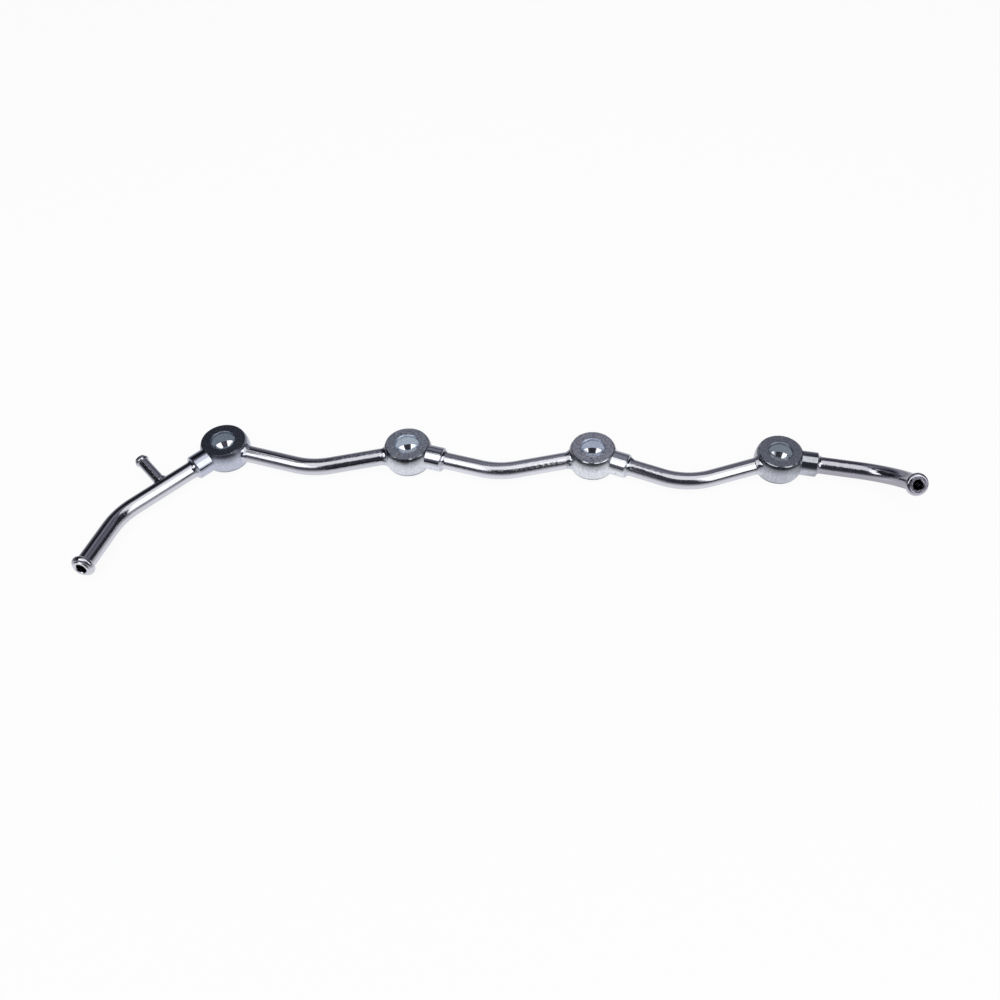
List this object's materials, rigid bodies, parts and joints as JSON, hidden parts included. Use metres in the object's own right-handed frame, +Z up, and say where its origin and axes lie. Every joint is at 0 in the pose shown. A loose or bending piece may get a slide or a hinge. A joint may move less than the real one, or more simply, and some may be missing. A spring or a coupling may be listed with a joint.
{
  "type": "fuel suction pipe",
  "caption": "Bowed steel fuel pipe: a row of banjo eyes brazed onto short tubes, with a beaded hose end at each end and a small beaded side nipple.",
  "frame": {"origin": "centre of the bore of eye 1, half-way up the eye", "axes": "+Z up along the bores of the eyes, +X along the row from eye 1 to eye 4"},
  "size_m": [0.4699, 0.1112, 0.0297],
  "materials": {
    "turned_steel": "turned steel with bright zinc plating, fine turning rings on the sealing faces",
    "drawn_steel": "drawn steel tube with bright zinc plating, faint lines along it",
    "braze": "braze fillet, smooth, plated over with the rest"
  },
  "bodies": {
    "root": {"eye_1": "turned_steel", "eye_2": "turned_steel", "eye_3": "turned_steel", "eye_4": "turned_steel", "inlet_tube": "drawn_steel", "link_tube_1": "drawn_steel", "link_tube_2": "drawn_steel", "link_tube_3": "drawn_steel", "outlet_tube": "drawn_steel", "branch_nipple": "drawn_steel", "braze_neck_1": "braze", "braze_neck_2": "braze", "braze_neck_3": "braze", "braze_neck_4": "braze", "braze_eye_1": "braze", "braze_eye_2": "braze", "braze_eye_3": "braze", "braze_eye_4": "braze", "braze_nipple": "braze"}
  },
  "joints": []
}
